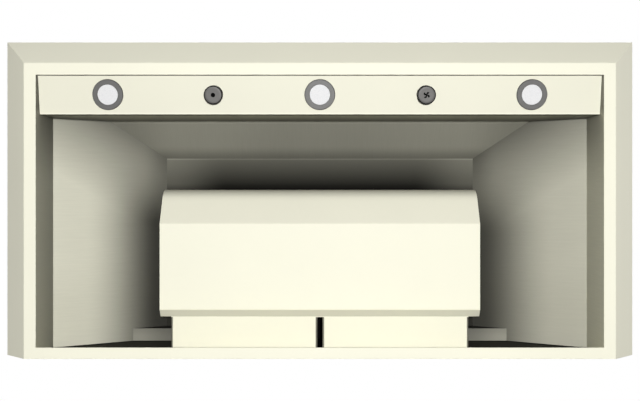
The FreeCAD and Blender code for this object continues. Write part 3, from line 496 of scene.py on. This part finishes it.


# Paint, with painted shade in the recesses and rolling lines up the slopes of the liner
SIDE_LINES = (18, 420, 18)
FRONT_LINES = (420, 18, 18)
DULL = {"gloss": 0.05, "rough": 0.75}
# the left and right liners get different levels of painted shade
left_shade = side_liner_shade(low_lip=0.60, high_lip=0.31, slope=0.74, deepest=0.07, near=-0.432)
right_shade = side_liner_shade(low_lip=1.0, high_lip=0.81, slope=0.55, deepest=0.13, near=-0.410)
assign(enamel("cream_enamel"), "front_panel", "side_panel_left", "side_panel_right", "top_panel",
       "bottom_rim")
assign(enamel("cream_enamel_panel_painted_shade_and_highlight", panel_shade), "control_panel")
assign(enamel("cream_enamel_housing_painted_shade", housing_shade), "blower_housing")
assign(enamel("cream_enamel_chute_painted_shade", chute_shade), "exhaust_chute_left", "exhaust_chute_right")
assign(enamel("cream_enamel_left_liner_painted_shade", left_shade, SIDE_LINES), "liner_left")
assign(enamel("cream_enamel_right_liner_painted_shade", right_shade, SIDE_LINES), "liner_right")
assign(enamel("cream_enamel_ledge_painted_shade", ledge_shade), "rear_ledge_left", "rear_ledge_right")
assign(enamel("cream_enamel_front_liner_painted_shade", front_liner_shade, FRONT_LINES), "liner_front")
assign(enamel("cream_enamel_ceiling_painted_shade_and_highlight", ceiling_shade, **DULL), "ceiling_plate")
assign(enamel("cream_enamel_back_painted_shade", back_shade, **DULL), "back_panel")
assign(enamel("cream_enamel_plate_painted_shade", plate_shade, **DULL), "blower_back_plate")

# Bare metal, plastic and lamps
zinc = galvanised("zinc_sheet")
bright = satin_metal("bright_steel", (0.62, 0.62, 0.62), 0.25, 0.42)
cast = satin_metal("cast_alloy", (0.42, 0.43, 0.45), 0.42, 0.60)
black = plastic("black_plastic", srgb(26, 26, 27), srgb(36, 36, 37))
assign(zinc, "plenum_box", "duct_collar", "damper_flap_front", "damper_flap_rear", "impeller_left",
       "impeller_right", "motor_bracket_left", "motor_bracket_right", "junction_box", "junction_box_cover")
assign(bright, "light_control_stem", "fan_control_stem", "control_nuts", "motor_shaft_left",
       "motor_shaft_right", "damper_pin", "top_screws", "motor_bolts", "housing_catches")
assign(cast, "motor_left", "motor_right", "motor_capacitors", "lamp_can_left", "lamp_can_centre",
       "lamp_can_right", "lamp_module_left", "lamp_module_centre", "lamp_module_right")
assign(black, "light_control", "fan_control", "inlet_ring_left", "inlet_ring_right", "cable_gland",
       "cable_gland_nut", "wiring_conduit")
assign(frosted_lens("lamp_glass"), "lamp_lens_left", "lamp_lens_centre", "lamp_lens_right")

TRIM_TONE = (0.092, 0.091, 0.088)
for side in ("left", "centre", "right"):
    ring_low, ring_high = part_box("lamp_ring_" + side)
    centre = ((ring_low.x + ring_high.x) / 2, panel_at.y, panel_at.z)
    trim = satin_metal("lamp_trim_" + side, TRIM_TONE, 0.45, 0.60, (centre, inward), 2500.0, 0.4)
    assign(trim, "lamp_ring_" + side)

soften(0.5 * MM, "front_panel", "side_panel_left", "side_panel_right", "bottom_rim", "control_panel",
       "exhaust_chute_left", "exhaust_chute_right", "junction_box_cover")

# Knobs, each with a fluted shell, a face disc and a sign; heights are along the axis, out of the panel
KNOB_R = 17.9 * MM
KNOB_NEAR = 0.8 * MM
KNOB_FAR = 15.8 * MM
KNOB_BORE_R = 14.4 * MM
KNOB_BORE_DEPTH = 8 * MM
KNOB_EDGE = 0.5 * MM
FLUTES = 36
FLUTE_DEPTH = 0.55 * MM
FACE_R = 16.0 * MM
FACE_BASE = KNOB_FAR - 0.45 * MM
SIGN_BASE = KNOB_FAR - 0.32 * MM
SIGN_FACE = SIGN_BASE + 0.2 * MM
SIGN_CROWN = SIGN_BASE + 0.24 * MM
DISC_TONE = (0.082, 0.079, 0.075)
flank = plastic("knob_flank", srgb(9, 9, 8), srgb(14, 13, 12), 0.5, 900.0, 0.1)
ink = plastic("sign_ink", srgb(4, 4, 4), srgb(7, 7, 7), 0.7, gloss=0.02)


def knob_shell(bm):
    """Hollow cap with a plain band at each end of the flutes and a sunk face."""
    profile = [
        (KNOB_BORE_R, KNOB_NEAR + KNOB_BORE_DEPTH),
        (KNOB_BORE_R, KNOB_NEAR),
        (KNOB_R - KNOB_EDGE, KNOB_NEAR),
        (KNOB_R, KNOB_NEAR + KNOB_EDGE),
        (KNOB_R, KNOB_NEAR + 1.6 * MM),
        (KNOB_R, KNOB_NEAR + 2.2 * MM),
        (KNOB_R, KNOB_FAR - 3.4 * MM),
        (KNOB_R, KNOB_FAR - 2.8 * MM),
        (KNOB_R, KNOB_FAR - 1.2 * MM),
        (KNOB_R - 0.4 * MM, KNOB_FAR - 0.4 * MM),
        (KNOB_R - 1.2 * MM, KNOB_FAR),
        (KNOB_R - 1.6 * MM, KNOB_FAR),
        (KNOB_R - 1.8 * MM, KNOB_FAR - 0.5 * MM),
        (0, KNOB_FAR - 0.5 * MM),
    ]
    fluted_rows = (5, 6)

    def flute(row, turn):
        return FLUTE_DEPTH * (0.5 - 0.5 * math.cos(FLUTES * turn)) if row in fluted_rows else 0

    lathe(bm, profile, FLUTES * 6, flute)


def knob_face(bm):
    """Slightly dished disc."""
    lathe(bm, [
        (FACE_R, FACE_BASE),
        (FACE_R, FACE_BASE + 0.2 * MM),
        (FACE_R - 0.3 * MM, FACE_BASE + 0.35 * MM),
        (FACE_R * 0.75, FACE_BASE + 0.25 * MM),
        (FACE_R * 0.45, FACE_BASE + 0.18 * MM),
        (0, FACE_BASE + 0.15 * MM),
    ], 96)


def dot_sign(bm):
    """Low round dot."""
    lathe(bm, [
        (4.2 * MM, SIGN_BASE),
        (4.1 * MM, SIGN_BASE + 0.16 * MM),
        (3.0 * MM, SIGN_BASE + 0.22 * MM),
        (0, SIGN_CROWN),
    ], 48)


def blade_outline(start):
    """Rounded blade of the fan sign in millimetres, wider towards its tip and bent back a little."""
    root = 0.9
    length = 5.8
    swell = 2.8
    bend = 0.11
    steps = 24
    outline = []
    for step in range(steps):
        along = 2 * math.pi * step / steps
        reach = root + length * (0.5 - 0.5 * math.cos(along))
        half_width = swell * math.sin(along) * (0.35 + 0.65 * reach / 7)
        turn = start - bend * reach
        x = reach * math.cos(turn) - half_width * math.sin(turn)
        y = reach * math.sin(turn) + half_width * math.cos(turn)
        outline.append((x, y))
    return outline


def fan_sign(bm):
    """Hub with four blades."""
    hub_r = 1.9 * MM
    lathe(bm, [(hub_r, SIGN_BASE), (hub_r, SIGN_FACE), (0, SIGN_CROWN)], 32)
    for blade in range(4):
        outline = blade_outline(math.pi / 2 * blade)
        slab(bm, [(x * MM, y * MM) for x, y in outline], SIGN_BASE, SIGN_FACE)


for knob, sign in (("light_knob", dot_sign), ("fan_knob", fan_sign)):
    place = Vector(turns[knob]["pos_m"])
    spot = out_of(place, outward)
    shell = new_piece(knob + "_shell", knob_shell, spot, flank, knob)
    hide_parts(knob)
    disc = satin_metal(knob + "_disc", DISC_TONE, 0.45, 0.60, (place, inward), 2200.0, 0.4)
    new_piece(knob + "_face", knob_face, spot, disc, knob)
    new_piece(knob + "_sign", sign, spot, ink, knob)

# Seam screws on the top panel
SEAM_INSET = 9 * MM
FRONT_SEAM_INSET = 11 * MM
LONG_SEAM_SCREWS = 9
END_SEAM_SCREWS = 2
top_low, top_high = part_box("top_panel")


def pan_head(bm, centre):
    """Cross head screw lying on local z 0."""
    recess_row = 4

    def cross(row, turn):
        return 0.75 * MM * (1.0 - abs(math.cos(2 * turn)) ** 3) if row >= recess_row else 0

    lathe(bm, [
        (3.4 * MM, 0),
        (3.3 * MM, 0.8 * MM),
        (2.7 * MM, 1.5 * MM),
        (1.9 * MM, 1.8 * MM),
        (1.35 * MM, 1.85 * MM),
        (1.2 * MM, 0.8 * MM),
        (0, 0.6 * MM),
    ], 32, cross, centre)


def seam_screws(bm):
    """Screws along the front and the rear seam, and fewer along the two ends."""
    left = top_low.x + SEAM_INSET
    right = top_high.x - SEAM_INSET
    for step in range(LONG_SEAM_SCREWS):
        x = left + (right - left) * step / (LONG_SEAM_SCREWS - 1)
        for y in (top_low.y + FRONT_SEAM_INSET, top_high.y - SEAM_INSET):
            pan_head(bm, (x, y))
    for step in range(1, END_SEAM_SCREWS + 1):
        y = top_low.y + (top_high.y - top_low.y) * step / (END_SEAM_SCREWS + 1)
        for x in (left, right):
            pan_head(bm, (x, y))


top_face = Matrix.Translation((0, 0, top_high.z))
new_piece("top_seam_screws", seam_screws, top_face, bright, "hood")

# Camera, looking straight up
camera_data = bpy.data.cameras.new("camera")
camera_data.sensor_width = 36.0
camera_data.lens = 52.31
camera = bpy.data.objects.new("camera", camera_data)
camera.location = (0.0003, -0.3012, -1.7675)
camera.rotation_euler = (math.pi, 0, 0)
scene.collection.objects.link(camera)
scene.camera = camera

# Light, backdrop and floor
MIDDLE_Y = -0.3
FLOOR_Z = -0.3


def add_light(name, data, direction, place=(0, 0, 0)):
    """Adds a light that shines along a direction."""
    light = bpy.data.objects.new(name, data)
    light.location = place
    light.rotation_mode = "QUATERNION"
    light.rotation_quaternion = Vector(direction).to_track_quat("-Z", "Y")
    light.visible_camera = False
    scene.collection.objects.link(light)


def soft_box(name, place, target, size, power):
    """Round lamp at a place, turned to a target."""
    data = bpy.data.lights.new(name, "AREA")
    data.shape = "DISK"
    data.size = size
    data.energy = power
    add_light(name, data, Vector(target) - Vector(place), place)


def soft_sky(name, bearing, rise, strength, spread):
    """Wide parallel light from a bearing, 0 in front and 90 on the right, and a rise above the horizon."""
    data = bpy.data.lights.new(name, "SUN")
    data.angle = math.radians(spread)
    data.energy = strength
    bearing = math.radians(bearing)
    rise = math.radians(rise)
    level = math.cos(rise)
    towards = Vector((math.sin(bearing) * level, -math.cos(bearing) * level, math.sin(rise)))
    add_light(name, data, -towards)


soft_box("key_below", place=(0.12, -0.485, -3.0), target=(0, MIDDLE_Y, 0), size=0.12, power=89.5)
soft_sky("fill_front", bearing=0, rise=46, strength=1.6, spread=12)
soft_sky("fill_right", bearing=90, rise=45, strength=1.2, spread=30)
soft_sky("fill_left", bearing=270, rise=52, strength=0.8, spread=12)
soft_sky("fill_back", bearing=180, rise=10, strength=1.5, spread=30)


def studio():
    """World that is white where it is seen or mirrored, and a faint even light on the object."""
    world = bpy.data.worlds.new("studio")
    sky = Nodes(world, "OutputWorld")
    path = sky.add("LightPath").outputs
    seen = sky.math("MAXIMUM", path["Is Camera Ray"], path["Is Glossy Ray"])
    seen = sky.math("MAXIMUM", seen, path["Is Transmission Ray"])
    ambient = sky.add("Background", Color=WHITE, Strength=0.07).outputs[0]
    backdrop = sky.add("Background", Color=WHITE, Strength=1.0).outputs[0]
    sky.feed(sky.out, "Surface", sky.mix_shader(seen, ambient, backdrop))
    return world


def floor_material():
    """Pale floor that fades out far away and isn't seen from below."""
    s = Shader("pale_floor")
    place = s.coords()
    pale = s.ramp(s.noise(place, 3.0, 3.0), srgb(240, 240, 239), srgb(247, 247, 246))
    path = s.add("LightPath").outputs
    seen = s.math("MAXIMUM", path["Is Camera Ray"], path["Is Glossy Ray"])
    matte = s.add("BsdfDiffuse", Color=pale).outputs[0]
    glow = s.add("Emission", Color=pale).outputs[0]
    surface = s.mix_shader(s.span(seen, 0.0, 0.8), matte, glow)
    far = s.span(s.vector("LENGTH", place), 0.0, 1.0, 3.0, 8.0)
    gone = s.math("MAXIMUM", far, s.add("NewGeometry").outputs["Backfacing"])
    clear = s.add("BsdfTransparent").outputs[0]
    s.feed(s.out, "Surface", s.mix_shader(gone, surface, clear))
    return s.material


def floor_disc(bm):
    """Wide flat disc."""
    lathe(bm, [(0, 0), (2.0, 0), (5.0, 0), (9.0, 0)], 96)


scene.world = studio()
floor_mesh = mesh_from("floor", floor_disc, Matrix.Identity(4))
if floor_mesh.polygons[0].normal.z < 0:
    floor_mesh.flip_normals()
floor_mesh.materials.append(floor_material())
floor = bpy.data.objects.new("floor", floor_mesh)
floor.location = (0, MIDDLE_Y, FLOOR_Z)
floor.visible_shadow = False
floor.visible_diffuse = False
scene.collection.objects.link(floor)

scene.view_settings.view_transform = "Standard"
